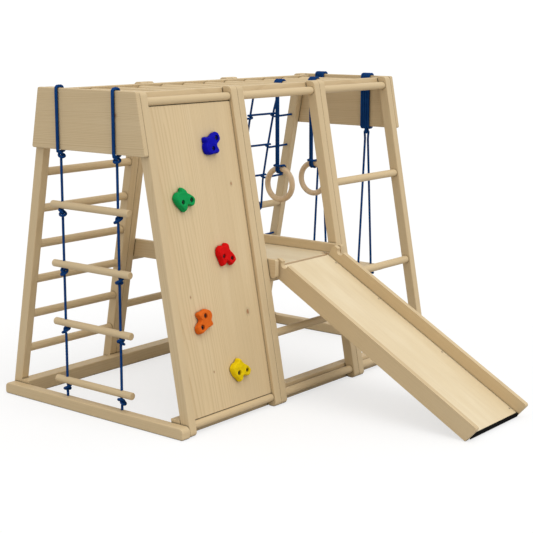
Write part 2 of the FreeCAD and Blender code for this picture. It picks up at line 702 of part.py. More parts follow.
def ring_strap(x, y):
    """Doubled rope with four strands over a bar; its two legs hang side by side on the
    left of the bar and hitch round a ring, with the bight across the front of the hitch.
    Where the strands press on each other they are joined."""
    round_bar = BAR_RADIUS + 0.6 + STRAP
    round_ring = RING_TUBE + 0.6 + STRAP
    pieces = []
    for turn in range(4):
        place = y + (turn - 1.5) * TURN_PITCH
        pieces.append(Part.makeTorus(round_bar, STRAP, V(x, place, BAR_Z), ALONG_Y))
        pieces.append(Part.makeTorus(round_ring, STRAP, V(x, place, RING_TOP), ALONG_Y))
    for side in (-1, 1):
        place = y + side * TURN_PITCH / 2.0
        high = V(x - round_bar, place, BAR_Z)
        low = V(x - round_ring, place, RING_TOP)
        pieces.append(rod(low, high, STRAP))
    for out, z in ((round_bar, BAR_Z), (round_ring, RING_TOP)):
        pieces.append(rod(V(x + out, y - 1.5 * TURN_PITCH, z + 1.0),
                          V(x + out, y + 1.5 * TURN_PITCH, z + 1.0), 0.6 * STRAP))
    bight_x = x - round_ring - 1.6 * STRAP
    bight_z = RING_TOP + RING_TUBE + 3.0
    ends = [V(bight_x, y + side * 1.5 * TURN_PITCH, bight_z) for side in (-1, 1)]
    pieces.append(rod(ends[0], ends[1], STRAP))
    for side, end in zip((-1, 1), ends):
        tuck = V(x - 6.0, y + side * 1.5 * TURN_PITCH, RING_TOP + round_ring - 1.0)
        pieces.extend([ball(end, STRAP), rod(end, tuck, STRAP)])
    return fuse(pieces).cut(ring(x, y, 0.4))


for name, place, y in RINGS:
    save("ring_" + name, ring(bar_x[place], y))
    save("ring_strap_" + name, ring_strap(bar_x[place], y))


# ---- swing on the right end ---------------------------------------------------------
SEAT_HALF_X = 75.0
SEAT_HALF_Y = 210.0
SEAT = 20.0
SEAT_HOLE_X = 53.0
SLING_PITCH = 2.0 * ROPE + 0.4
swing_x = END_BOARD_MID_X

seat = block(swing_x - SEAT_HALF_X, swing_x + SEAT_HALF_X, -SEAT_HALF_Y, SEAT_HALF_Y,
             SEAT_TOP_Z - SEAT, SEAT_TOP_Z)
seat = seat.makeFillet(25.0, edges_where(seat, lambda e: runs_along(e, ALONG_Z)))
seat = seat.makeFillet(5.0, edges_where(seat, lambda e: e.BoundBox.ZLength < 1e-4))
for side_x in (-1, 1):
    for side_y in (-1, 1):
        x = swing_x + side_x * SEAT_HOLE_X
        y = side_y * SWING_HALF
        seat = seat.cut(rod(V(x, y, 300), V(x, y, 450), HANG_ROPE + 0.3))
save("swing_seat", seat)


def swing_rope(y):
    """Two ropes that spread from a bight under the sling and pass down through the seat."""
    half_bight = 8.0
    pieces = [rod(V(swing_x, y - half_bight, SWING_TOP_Z), V(swing_x, y + half_bight, SWING_TOP_Z),
                  HANG_ROPE)]
    for side in (-1, 1):
        x = swing_x + side * SEAT_HOLE_X
        top = V(swing_x, y - side * half_bight, SWING_TOP_Z)
        bend = V(x, y, SEAT_TOP_Z + 18.0)
        low = V(x, y, SEAT_TOP_Z - SEAT - 20.0)
        for end in (top, bend):
            pieces.append(ball(end, HANG_ROPE))
        pieces.append(rod(top, bend, HANG_ROPE))
        pieces.append(rod(bend, low, HANG_ROPE))
        pieces.append(rope_knot(x, y, SEAT_TOP_Z - SEAT - TOUCH, KNOT, 29.0))
    return fuse(pieces)


for name, y in (("front", -SWING_HALF), ("back", SWING_HALF)):
    turns = [board_loop(swing_x, y + (turn - 1.5) * SLING_PITCH) for turn in range(4)]
    save("swing_sling_" + name, turns)
    save("swing_rope_" + name, swing_rope(y))
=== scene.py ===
import json
import math

import bpy
import numpy as np
from mathutils import Matrix, Vector


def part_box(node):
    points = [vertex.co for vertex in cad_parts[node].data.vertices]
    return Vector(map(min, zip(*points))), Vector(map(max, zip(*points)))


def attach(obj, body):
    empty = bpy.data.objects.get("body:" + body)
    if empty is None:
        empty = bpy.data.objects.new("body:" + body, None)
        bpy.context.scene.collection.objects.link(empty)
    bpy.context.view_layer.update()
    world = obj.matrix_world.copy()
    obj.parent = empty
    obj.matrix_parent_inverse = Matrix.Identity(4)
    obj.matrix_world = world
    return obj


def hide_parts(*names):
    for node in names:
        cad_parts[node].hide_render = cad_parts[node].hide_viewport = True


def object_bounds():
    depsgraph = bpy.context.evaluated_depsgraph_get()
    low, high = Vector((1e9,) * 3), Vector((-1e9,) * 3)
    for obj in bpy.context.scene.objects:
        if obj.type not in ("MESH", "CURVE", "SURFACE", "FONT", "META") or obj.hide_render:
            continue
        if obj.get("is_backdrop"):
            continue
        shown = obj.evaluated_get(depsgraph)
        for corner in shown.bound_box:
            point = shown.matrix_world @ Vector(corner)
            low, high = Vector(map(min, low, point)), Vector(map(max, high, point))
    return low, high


# Looks of the indoor climbing frame: wood, holds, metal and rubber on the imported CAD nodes,
# and braided ropes, knots, hitches and net built new in place of the plain CAD ones.
# Metres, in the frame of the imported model.

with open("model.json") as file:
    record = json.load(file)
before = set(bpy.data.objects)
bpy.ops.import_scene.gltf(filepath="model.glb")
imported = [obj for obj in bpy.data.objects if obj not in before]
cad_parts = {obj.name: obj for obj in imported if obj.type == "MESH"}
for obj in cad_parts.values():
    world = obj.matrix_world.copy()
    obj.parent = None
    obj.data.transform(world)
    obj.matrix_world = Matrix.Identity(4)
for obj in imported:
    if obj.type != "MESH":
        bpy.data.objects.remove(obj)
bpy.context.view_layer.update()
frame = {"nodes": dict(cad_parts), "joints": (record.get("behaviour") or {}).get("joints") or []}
nodes = frame["nodes"]

# ---- sizes of the soft pieces ---------------------------------------------------------
BOARD_ROPE = 0.0060        # radius of the rope wound round the end boards
HANG_ROPE = 0.0053         # radius of the rope that hangs under load
STRAP_ROPE = 0.0052        # radius of the ring rope
NET_CORD = 0.0051          # radius of the net cord
KNOT_RADIUS = 0.0165       # radius of a stopper knot in the CAD
PLAY = 0.0005              # gap between a rope and what it lies on
LAY_STRANDS = 6            # braid strands that run each way round a rope
LAY_DEPTH = 0.13           # height of a braid strand, as a share of the rope radius
AROUND = 24             # points round a rope's cross section
ALONG_STEP = 0.30     # spacing of the cross sections, in rope radii


# ---- shader graphs --------------------------------------------------------------------
class Graph:
    """A short way to write a node tree."""

    def __init__(self, tree):
        self.tree = tree

    def node(self, kind, feeds=None, **settings):
        made = self.tree.nodes.new("ShaderNode" + kind)
        for key, value in settings.items():
            setattr(made, key, value)
        for key, value in (feeds or {}).items():
            self.feed(made.inputs[key], value)
        return made

    def feed(self, socket, value):
        if isinstance(value, bpy.types.NodeSocket):
            self.tree.links.new(value, socket)
        else:
            socket.default_value = value

    def math(self, operation, *values):
        feeds = dict(enumerate(values))
        return self.node("Math", feeds, operation=operation).outputs[0]

    def add(self, a, b):
        return self.math("ADD", a, b)

    def times(self, a, b):
        return self.math("MULTIPLY", a, b)

    def minus(self, a, b):
        return self.math("SUBTRACT", a, b)

    def dot(self, a, direction):
        made = self.node("VectorMath", {0: a, 1: tuple(direction)}, operation="DOT_PRODUCT")
        return made.outputs["Value"]

    def join(self, x, y, z):
        return self.node("CombineXYZ", {0: x, 1: y, 2: z}).outputs[0]

    def split(self, vector):
        return self.node("SeparateXYZ", {0: vector}).outputs

    def stretch(self, vector, scale, shift=None):
        scaled = self.node("VectorMath", {0: vector, 1: scale}, operation="MULTIPLY").outputs[0]
        if shift is None:
            return scaled
        return self.node("VectorMath", {0: scaled, 1: shift}, operation="ADD").outputs[0]

    def noise(self, vector, scale, detail=2.0, roughness=0.5):
        feeds = {"Vector": vector, "Scale": scale, "Detail": detail, "Roughness": roughness}
        return self.node("TexNoise", feeds).outputs[0]

    def range(self, value, low, high, out_low=0.0, out_high=1.0, smooth=True):
        feeds = {"Value": value, "From Min": low, "From Max": high,
                 "To Min": out_low, "To Max": out_high}
        kind = "SMOOTHSTEP" if smooth else "LINEAR"
        return self.node("MapRange", feeds, interpolation_type=kind).outputs[0]

    def mix(self, factor, a, b, blend="MIX"):
        made = self.node("Mix", data_type="RGBA", blend_type=blend)
        for place, value in ((0, factor), (6, a), (7, b)):
            if place and not isinstance(value, bpy.types.NodeSocket):
                value = (*value, 1.0)[:4]
            self.feed(made.inputs[place], value)
        return made.outputs[2]

    def ramp(self, value, stops):
        made = self.node("ValToRGB", {"Fac": value})
        points = made.color_ramp.elements
        while len(points) < len(stops):
            points.new(0.5)
        for point, (place, grey) in zip(points, stops):
            point.position = place
            point.color = (grey, grey, grey, 1.0)
        return made.outputs[0]

    def tint(self, colour, factor):
        """Colour times a grey factor."""
        return self.mix(1.0, colour, self.join(factor, factor, factor), "MULTIPLY")

    def edges(self, radius):
        """1 along the edges of the piece, 0 on its flats."""
        rounded = self.node("Bevel", {"Radius": radius}, samples=3).outputs[0]
        flat = self.node("NewGeometry").outputs["Normal"]
        made = self.node("VectorMath", {0: rounded, 1: flat}, operation="DOT_PRODUCT")
        return self.range(made.outputs["Value"], 0.985, 0.80)

    def painted_crease_shade(self, colour, reach=0.012, dark=0.22):
        """The colour with painted shade: darkened by ambient occlusion in the joints and creases
        where pieces meet.
        """
        # painted shade: the less open to the sky, the darker the colour
        open_sky = self.node("AmbientOcclusion", {"Distance": reach}, samples=4).outputs["AO"]
        return self.tint(colour, self.range(open_sky, 0.30, 0.82, dark, 1.0))

    def finish(self, colour, roughness, height, bump=0.3, depth=0.0004, **extra):
        feeds = {"Height": height, "Strength": bump, "Distance": depth}
        normal = self.node("Bump", feeds).outputs[0]
        surface = self.node("BsdfPrincipled", {"Base Color": colour, "Roughness": roughness,
                                               "Normal": normal, **extra})
        out = self.node("OutputMaterial")
        self.tree.links.new(surface.outputs[0], out.inputs[0])


def new_material(name):
    material = bpy.data.materials.new(name)
    material.use_nodes = True
    material.node_tree.nodes.clear()
    return material, Graph(material.node_tree)


def paint(node_names, material):
    for name in node_names:
        piece = nodes[name]
        if not piece.material_slots:
            piece.data.materials.append(None)
        for slot in piece.material_slots:
            slot.link = "OBJECT"
            slot.material = material


# ---- wood -----------------------------------------------------------------------------
EARLY_WOOD = (0.638, 0.488, 0.283)
LATE_WOOD = (0.425, 0.285, 0.128)
PALE_WOOD = (0.690, 0.552, 0.345)
KNOT_HEART = (0.330, 0.150, 0.065)
KNOT_RIM = (0.430, 0.235, 0.110)


def pine_group():
    """Node group: growth rings round a pith line, fibres and slow colour drift."""
    tree = bpy.data.node_groups.new("pine_grain", "ShaderNodeTree")
    sockets = [("Grain", "NodeSocketVector"), ("Seed", "NodeSocketFloat"),
               ("Pith X", "NodeSocketFloat"), ("Pith Y", "NodeSocketFloat"),
               ("Spacing", "NodeSocketFloat"), ("Contrast", "NodeSocketFloat"),
               ("Tone", "NodeSocketFloat")]
    for name, kind in sockets:
        tree.interface.new_socket(name=name, in_out="INPUT", socket_type=kind)
    for name, kind in (("Color", "NodeSocketColor"), ("Roughness", "NodeSocketFloat"),
                       ("Height", "NodeSocketFloat")):
        tree.interface.new_socket(name=name, in_out="OUTPUT", socket_type=kind)
    g = Graph(tree)
    given = tree.nodes.new("NodeGroupInput").outputs
    shift = g.join(given["Seed"], given["Seed"], given["Seed"])
    x, y, z = g.split(given["Grain"])

    slow = g.noise(g.stretch(given["Grain"], (5.0, 5.0, 1.1), shift), 1.0, 2.0)
    sway = g.noise(g.stretch(given["Grain"], (26.0, 26.0, 3.2), shift), 1.0, 2.0)
    bend = g.add(g.times(g.minus(slow, 0.5), 0.030), g.times(g.minus(sway, 0.5), 0.0052))
    across = g.minus(g.add(x, bend), given["Pith X"])
    through = g.minus(g.add(y, g.times(bend, 0.7)), given["Pith Y"])
    distance = g.math("SQRT", g.add(g.times(across, across), g.times(through, through)))
    distance = g.add(distance, g.times(z, 0.012))
    seasons = g.noise(g.join(g.times(distance, 60.0), given["Seed"], 0.0), 1.0, 1.0)
    phase = g.add(g.math("DIVIDE", distance, given["Spacing"]), g.times(seasons, 2.2))
    ring = g.ramp(g.math("FRACT", phase), [(0.0, 0.10), (0.35, 0.0), (0.70, 0.45), (0.90, 1.0),
                                           (1.0, 0.15)])
    year = g.noise(g.join(g.math("FLOOR", phase), given["Seed"], 0.5), 3.7, 0.0)
    ring = g.times(ring, g.range(year, 0.30, 0.70, 0.45, 1.0))

    fibre = g.noise(g.stretch(given["Grain"], (620.0, 620.0, 14.0), shift), 1.0, 3.0, 0.6)
    fleck = g.noise(g.stretch(given["Grain"], (1500.0, 1500.0, 75.0), shift), 1.0, 1.0)
    fleck = g.range(fleck, 0.64, 0.78)
    drift = g.noise(g.stretch(given["Grain"], (9.0, 9.0, 1.6), shift), 1.0, 2.0)

    amount = g.times(g.times(ring, given["Contrast"]), g.range(drift, 0.25, 0.75, 0.60, 1.0))
    colour = g.mix(amount, EARLY_WOOD, LATE_WOOD)
    colour = g.mix(g.range(drift, 0.45, 0.80, 0.0, 0.35), colour, PALE_WOOD)
    shade = g.add(g.range(fibre, 0.25, 0.75, 0.955, 1.045, False), g.times(fleck, -0.05))
    colour = g.tint(colour, g.times(shade, given["Tone"]))
    rough = g.add(g.range(fibre, 0.2, 0.8, 0.50, 0.62, False), g.times(ring, -0.06))
    height = g.add(g.times(fibre, 0.7), g.add(g.times(ring, 0.35), g.times(fleck, -0.6)))

    out = tree.nodes.new("NodeGroupOutput")
    tree.links.new(colour, out.inputs["Color"])
    tree.links.new(rough, out.inputs["Roughness"])
    tree.links.new(height, out.inputs["Height"])
    return tree


PINE = pine_group()


def grain_axes(g, along, across):
    """Position as (across, through, along) the grain."""
    along = Vector(along).normalized()
    across = Vector(across).normalized()
    place = g.node("TexCoord").outputs["Object"]
    return [g.dot(place, across), g.dot(place, along.cross(across)), g.dot(place, along)]


def pine(name, along, across, seed, pith=(0.22, 0.05), spacing=0.0042, contrast=0.42, tone=1.0,
         knots=(), stave=None, many=False, wear=0.0035):
    """Lacquered pine. knots are (across, along, radius) in the piece's own grain axes;
    stave is (start, width) of the glued strips across it; many gives each rod its own tree."""
    material, g = new_material(name)
    x, y, z = grain_axes(g, along, across)
    pith_x, pith_y, piece_tone, piece_seed = pith[0], pith[1], tone, seed
    if many:
        own = g.node("NewGeometry").outputs["Random Per Island"]
        pith_x = g.add(g.times(own, 0.16), pith[0])
        piece_tone = g.range(own, 0.0, 1.0, tone * 0.965, tone * 1.03, False)
        piece_seed = g.add(g.times(own, 40.0), seed)
    if stave:
        strip = g.math("FLOOR", g.math("DIVIDE", g.minus(x, stave[0]), stave[1]))
        own = g.node("TexWhiteNoise", {"W": g.add(strip, seed)}, noise_dimensions="1D").outputs[0]
        pith_x = g.add(g.times(own, 0.20), pith[0])
        piece_tone = g.range(own, 0.0, 1.0, tone * 0.975, tone * 1.02, False)
        piece_seed = g.add(g.times(own, 30.0), seed)

    heart = 0.0
    rim = 0.0
    straight = x    # no knot reads another's bend, as the glTF export searches a chain very slowly
    for knot_x, knot_z, radius in knots:
        dx = g.minus(straight, knot_x)
        dz = g.minus(z, knot_z)
        wobble = g.noise(g.join(dx, y, dz), 140.0, 2.0)
        far = g.math("SQRT", g.add(g.times(dx, dx), g.times(g.times(dz, dz), 0.45)))
        far = g.math("DIVIDE", g.add(far, g.times(g.minus(wobble, 0.5), radius * 0.5)), radius)
        pull = g.math("EXPONENT", g.times(g.times(far, far), -0.16))
        x = g.minus(x, g.times(g.times(dx, pull), 0.72))
        heart = g.math("MAXIMUM", heart, g.range(far, 1.0, 0.55))
        halo = g.times(g.range(far, 2.1, 1.0), 0.55)
        rim = g.math("MAXIMUM", rim, halo)

    group = g.node("Group", node_tree=PINE)
    feeds = {"Grain": g.join(x, y, z), "Seed": piece_seed, "Pith X": pith_x, "Pith Y": pith_y,
             "Spacing": spacing, "Contrast": contrast, "Tone": piece_tone}
    for key, value in feeds.items():
        g.feed(group.inputs[key], value)
    colour, rough, height = group.outputs
    if knots:
        colour = g.mix(rim, colour, g.tint(colour, 0.74))
        middle = g.noise(g.join(x, y, z), 420.0, 3.0)
        colour = g.mix(heart, colour, g.mix(g.range(middle, 0.35, 0.65), KNOT_HEART, KNOT_RIM))
        height = g.add(height, g.times(heart, 0.8))
    edge = g.edges(wear)
    scuff = g.noise(g.join(x, y, z), 70.0, 3.0)
    rubbed = g.times(edge, g.range(scuff, 0.35, 0.65, 0.25, 1.0))
    colour = g.mix(g.times(rubbed, 0.30), colour, PALE_WOOD)
    rough = g.minus(rough, g.times(rubbed, 0.08))
    # painted shade in the joints and creases where pieces meet
    colour = g.painted_crease_shade(colour)
    g.finish(colour, rough, height, 0.28, 0.00035, **{"Coat Weight": 0.10, "Coat Roughness": 0.42,
                                                      "Specular IOR Level": 0.40})
    return material


def plywood(name, along, across, seed, tone=1.0):
    """Birch plywood: a close pale face, and plies that show on the sawn edges."""
    material, g = new_material(name)
    x, y, z = grain_axes(g, along, across)
    through = Vector(along).normalized().cross(Vector(across).normalized())
    place = g.join(x, y, z)
    shift = (seed, seed, seed)
    cloud = g.noise(g.stretch(place, (16.0, 16.0, 3.0), shift), 1.0, 3.0)
    fibre = g.noise(g.stretch(place, (520.0, 520.0, 11.0), shift), 1.0, 3.0, 0.65)
    dash = g.noise(g.stretch(place, (900.0, 900.0, 60.0), shift), 1.0, 1.0)
    dash = g.range(dash, 0.62, 0.75)
    figure = g.noise(g.stretch(place, (60.0, 60.0, 3.5), shift), 1.0, 2.0)
    face = g.mix(g.range(cloud, 0.3, 0.7), (0.690, 0.582, 0.392), (0.645, 0.527, 0.335))
    face = g.mix(g.times(g.range(figure, 0.50, 0.66), 0.12), face, (0.545, 0.420, 0.262))
    face = g.tint(face, g.add(g.range(fibre, 0.25, 0.75, 0.97, 1.03, False), g.times(dash, -0.05)))
    ply = g.math("FRACT", g.math("DIVIDE", y, 0.0030))
    stripe = g.range(g.math("ABSOLUTE", g.minus(ply, 0.5)), 0.20, 0.28)
    edge = g.mix(stripe, (0.74, 0.58, 0.38), (0.47, 0.31, 0.17))
    facing = g.dot(g.node("NewGeometry").outputs["True Normal"], through)
    on_edge = g.range(g.math("ABSOLUTE", facing), 0.75, 0.55)
    # painted shade in the joints and creases where pieces meet
    colour = g.painted_crease_shade(g.tint(g.mix(on_edge, face, edge), tone))
    rough = g.add(g.range(fibre, 0.2, 0.8, 0.44, 0.54, False), g.times(on_edge, 0.14))
    height = g.add(fibre, g.times(dash, -0.8))
    g.finish(colour, rough, height, 0.16, 0.0003, **{"Coat Weight": 0.14, "Coat Roughness": 0.38})
    return material


def ring_wood(name, centre, seed):
    """Bent and glued birch: plies that follow the ring."""
    material, g = new_material(name)
    place = g.node("TexCoord").outputs["Object"]
    x, y, z = g.split(place)
    bend_radius = 0.072
    dy, dz = g.minus(y, centre.y), g.minus(z, centre.z)
    radius = g.math("SQRT", g.add(g.times(dy, dy), g.times(dz, dz)))
    turn = g.math("ARCTAN2", dy, dz)
    grain = g.join(radius, g.times(turn, bend_radius), x)
    fibre = g.noise(g.stretch(grain, (700.0, 22.0, 700.0), (seed, seed, seed)), 1.0, 3.0, 0.6)
    cloud = g.noise(g.stretch(grain, (40.0, 12.0, 40.0), (seed, 0.0, seed)), 1.0, 2.0)
    ply = g.math("FRACT", g.math("DIVIDE", radius, 0.0042))
    line = g.range(g.math("ABSOLUTE", g.minus(ply, 0.5)), 0.40, 0.49)
    colour = g.mix(g.range(cloud, 0.3, 0.7), (0.72, 0.545, 0.345), (0.64, 0.455, 0.265))
    colour = g.mix(g.times(line, 0.35), colour, (0.42, 0.27, 0.14))
    colour = g.tint(colour, g.range(fibre, 0.25, 0.75, 0.95, 1.05, False))
    rough = g.range(fibre, 0.2, 0.8, 0.38, 0.50, False)
    g.finish(colour, rough, g.minus(fibre, g.times(line, 0.6)), 0.20, 0.0003,
             **{"Coat Weight": 0.25, "Coat Roughness": 0.25})
    return material


# ---- wood on the CAD nodes --------------------------------------------------------------
X_AXIS, Y_AXIS, Z_AXIS = Vector((1, 0, 0)), Vector((0, 1, 0)), Vector((0, 0, 1))


def middle(node):
    low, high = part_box(node)
    return (low + high) / 2.0


def lean_of_rods():
    """Unit vector up the back row of posts, from the rungs between them."""
    low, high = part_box("rungs_left_back")
    radius = ROD_RADIUS
    run = (high.y - low.y) - 2 * radius
    rise = (high.z - low.z) - 2 * radius
    return Vector((0, -run, rise)).normalized()


ROD_RADIUS = (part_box("rod_net")[1].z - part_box("rod_net")[0].z) / 2.0
UP_BACK = lean_of_rods()
UP_FRONT = Vector((0, -UP_BACK.y, UP_BACK.z))

SEEDS = iter(range(3, 400, 7))
for row, up in (("front", UP_FRONT), ("back", UP_BACK)):
    for place in range(1, 7):
        seed = next(SEEDS)
        name = "post_%s_%d" % (row, place)
        wide = middle(name).x + (0.10 if place % 2 else -0.11)
        paint([name], pine("pine_" + name, up, X_AXIS, seed, (wide, 0.09 * (-1) ** place),
                           0.0040 + 0.0002 * (place % 3), 0.40, 0.985 + 0.012 * (place % 3)))

for name in ("rods_top", "rods_foot", "rungs_left_back", "rungs_right_front", "rods_middle",
             "rod_net"):
    paint([name], pine("pine_" + name, X_AXIS, Y_AXIS, next(SEEDS), (0.03, 0.4), 0.0036, 0.36,
                       1.02, many=True))
paint(["bars_overhead"], pine("pine_bars", Y_AXIS, Z_AXIS, next(SEEDS), (1.18, 0.2), 0.0036,
                              0.36, 1.03, many=True))
paint(["ladder_rungs"], pine("pine_ladder_rungs", Y_AXIS, Z_AXIS, next(SEEDS), (0.2, -0.9),
                             0.0034, 0.36, 0.99, many=True))
for name in ("rail_top_front", "rail_top_back", "rail_floor_front", "rail_floor_back"):
    paint([name], pine("pine_" + name, X_AXIS, Z_AXIS, next(SEEDS), (middle(name).z + 0.16, 0.35),
                       0.0044, 0.42, 1.0))
for name in ("rail_base_left", "rail_base_right"):
    paint([name], pine("pine_" + name, Y_AXIS, Z_AXIS, next(SEEDS), (-0.05, middle(name).x - 0.03),
                       0.0040, 0.46, 1.0))
for name in ("guard_left", "guard_right"):
    paint([name], pine("pine_" + name, Y_AXIS, Z_AXIS, next(SEEDS), (0.40, 0.30), 0.0040, 0.40))
paint(["deck_bearers"], pine("pine_bearers", Y_AXIS, Z_AXIS, next(SEEDS), (0.40, 0.1)))
paint(["panel_cleats"], pine("pine_cleats", UP_FRONT, X_AXIS, next(SEEDS), (-0.3, 0.1)))
paint(["swing_seat"], pine("pine_seat", Y_AXIS, X_AXIS, next(SEEDS), (0.80, -0.30), 0.0044, 0.44))

for name, knots in (("board_end_left", [(0.62, 0.245, 0.0075)]),
                    ("board_end_right", [(0.42, 0.70, 0.0070)])):
    low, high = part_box(name)
    placed = [(low.z + share_z * (high.z - low.z), low.y + share_y * (high.y - low.y), radius)
              for share_z, share_y, radius in knots]
    paint([name], pine("pine_" + name, Y_AXIS, Z_AXIS, next(SEEDS), (1.02, middle(name).x + 0.07),
                       0.0048, 0.85, 0.99, knots=placed))

low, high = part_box("panel_climbing")
panel_low = low.z / UP_FRONT.z
panel_tall = (high.z - low.z) / UP_FRONT.z
panel_wide = high.x - low.x
panel_base = Vector((0, low.y, low.z)).dot(UP_FRONT)
PANEL_KNOTS = [(0.870, 0.725, 0.0055), (0.847, 0.293, 0.0085), (0.185, 0.385, 0.0040),
               (0.33, 0.13, 0.0035)]
placed = [(low.x + share_x * panel_wide, panel_base + share_z * panel_tall, radius)
          for share_x, share_z, radius in PANEL_KNOTS]
paint(["panel_climbing"], pine("pine_panel", UP_FRONT, X_AXIS, next(SEEDS), (-0.86, 0.30), 0.0046,
                               0.58, 1.07, knots=placed, stave=(low.x, panel_wide / 6.0)))

low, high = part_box("chute_bed")
slope = Vector((0, high.y - low.y, high.z - low.z)).normalized()
for name in ("chute_side_left", "chute_side_right"):
    paint([name], pine("pine_" + name, slope, X_AXIS, next(SEEDS), (middle(name).x + 0.05, 0.34),
                       0.0042, 0.42, 1.0))
paint(["chute_bed"], plywood("ply_chute_bed", slope, X_AXIS, 11.0, 1.12))
paint(["chute_battens"], pine("pine_battens", X_AXIS, slope, next(SEEDS), (0.3, 0.2)))
paint(["deck"], plywood("ply_deck", Y_AXIS, X_AXIS, 23.0, 1.04))
for side in ("left", "right"):
    paint(["ring_" + side], ring_wood("ring_wood_" + side, middle("ring_" + side),
                                      4.0 if side == "left" else 9.0))


# ---- holds, metal and rubber ------------------------------------------------------------
def moulded(name, colour, seed):
    """Cast resin with a sandy grip texture, a painted highlight on its ridges and painted shade in
    its hollows.
    """
    material, g = new_material(name)
    place = g.node("TexCoord").outputs["Object"]
    sand = g.noise(place, 2100.0, 2.0, 0.6)
    lump = g.noise(g.stretch(place, (1.0, 1.0, 1.0), (seed, seed, seed)), 130.0, 3.0, 0.6)
    patch = g.noise(place, 38.0, 2.0)
    ridge = g.node("NewGeometry").outputs["Pointiness"]
    # painted light: a lighter copy of the colour for a painted highlight, a darker copy for painted
    # shade
    painted_ridge_highlight = [min(1.0, c * 1.14 + 0.010) for c in colour]
    painted_hollow_shade = [c * 0.72 for c in colour]
    mixed = g.mix(g.range(patch, 0.3, 0.7), colour, [c * 0.90 for c in colour])
    # painted highlight on the convex ridges, then painted shade in the concave hollows
    mixed = g.mix(g.times(g.range(ridge, 0.505, 0.56), 0.65), mixed, painted_ridge_highlight)
    mixed = g.mix(g.times(g.range(ridge, 0.495, 0.44), 0.75), mixed, painted_hollow_shade)
    mixed = g.tint(mixed, g.range(sand, 0.3, 0.7, 0.95, 1.05, False))
    rough = g.range(lump, 0.3, 0.7, 0.58, 0.72, False)
    height = g.add(g.times(sand, 0.5), g.times(lump, 1.1))
    g.finish(mixed, rough, height, 0.45, 0.0007, **{"Specular IOR Level": 0.07})
    return material


HOLD_COLOURS = {"blue": (0.0040, 0.0038, 0.390), "green": (0.0060, 0.310, 0.078),
                "red": (0.640, 0.0030, 0.0035), "orange": (0.720, 0.135, 0.012),
                "yellow": (0.780, 0.560, 0.003)}
lumps = bpy.data.textures.new("hold_lumps", "CLOUDS")
lumps.noise_scale = 0.020
lumps.noise_depth = 2
facets = bpy.data.textures.new("hold_facets", "VORONOI")
facets.noise_scale = 0.030
facets.distance_metric = "DISTANCE_SQUARED"
for number, (colour_name, colour) in enumerate(HOLD_COLOURS.items()):
    hold = nodes["hold_" + colour_name]
    remesh = hold.modifiers.new("skin", "REMESH")
    remesh.mode = "VOXEL"
    remesh.voxel_size = 0.0013
    remesh.use_smooth_shade = True
    soften = hold.modifiers.new("soften", "SMOOTH")
    soften.factor = 0.5
    soften.iterations = 3
    for texture, strength, level in ((lumps, 0.0030, 0.5), (facets, 0.0034, 0.35)):
        bulge = hold.modifiers.new(texture.name, "DISPLACE")
        bulge.texture = texture
        bulge.texture_coords = "LOCAL"
        bulge.strength = strength
        bulge.mid_level = level
    paint([hold.name], moulded("resin_" + colour_name, colour, 3.0 * number))


def metal(name, colour, roughness):
    """Zinc-plated steel with fine turning marks and a little dulling."""
    material, g = new_material(name)
    place = g.node("TexCoord").outputs["Object"]
    fine = g.noise(place, 2600.0, 2.0)
    dull = g.noise(place, 300.0, 3.0)
    mixed = g.mix(g.range(dull, 0.35, 0.7), colour, [c * 0.62 for c in colour])
    rough = g.range(dull, 0.3, 0.7, roughness, roughness + 0.18, False)
    g.finish(mixed, rough, fine, 0.2, 0.0002, Metallic=1.0)
    return material


paint(["hold_bolts"], metal("black_zinc", (0.075, 0.075, 0.080), 0.34))
paint(["hold_nuts", "post_screws", "chute_screws"], metal("bright_zinc", (0.60, 0.60, 0.58), 0.30))

rubber, g = new_material("rubber")
place = g.node("TexCoord").outputs["Object"]
x, y, z = g.split(place)
rib = g.math("ABSOLUTE", g.math("SINE", g.times(x, math.pi / 0.004)))
dust = g.noise(place, 160.0, 3.0)
dark = g.mix(g.range(dust, 0.45, 0.75), (0.002, 0.002, 0.002), (0.006, 0.006, 0.006))
g.finish(dark, g.range(dust, 0.3, 0.7, 0.70, 0.86, False), rib, 0.5, 0.0006,
         **{"Specular IOR Level": 0.06})
paint(["chute_grip_strip"], rubber)


# ---- rope -------------------------------------------------------------------------------
def evenly(path, step):
    """The same path with points an even step apart."""
    path = np.asarray(path, float)
    gone = np.r_[0, np.cumsum(np.linalg.norm(np.diff(path, axis=0), axis=1))]
    count = max(int(round(gone[-1] / step)), 4)
    marks = np.linspace(0, gone[-1], count + 1)
    return np.stack([np.interp(marks, gone, path[:, k]) for k in range(3)], 1)


def rounded(points, radius, pieces=8):
    """Open path through the corner points, each corner turned with a bend."""
    points = [np.asarray(point, float) for point in points]
    made = [points[0]]
    for before, corner, after in zip(points, points[1:], points[2:]):
        back, ahead = before - corner, after - corner
        reach = min(radius, np.linalg.norm(back) * 0.5, np.linalg.norm(ahead) * 0.5)
        start = corner + back / max(np.linalg.norm(back), 1e-9) * reach
        end = corner + ahead / max(np.linalg.norm(ahead), 1e-9) * reach
        for t in np.linspace(0, 1, pieces):
            made.append(start * (1 - t) ** 2 + corner * 2 * t * (1 - t) + end * t ** 2)
    made.append(points[-1])
    return np.array(made)


KNOT_END = 5.5             # half length of the knotted stretch, in rope radii
KNOT_EXIT = 3.2            # where the rope leaves the knot, in rope radii from its middle
KNOT_TAIL = (4.7, 4.3, 3.9)    # straight points past each exit, in rope radii
KNOT_SPREAD = 1.12         # the finished knot is this much larger than drawn
KNOT_STEP = 0.5            # spacing of the points while the knot is drawn tight, in rope radii
KNOT_ROUNDS = 320
TOUCHING = 2.0             # two stretches of rope touch at this distance, in rope radii
NEIGHBOUR = 3.4            # stretches closer than this along the rope don't push each other


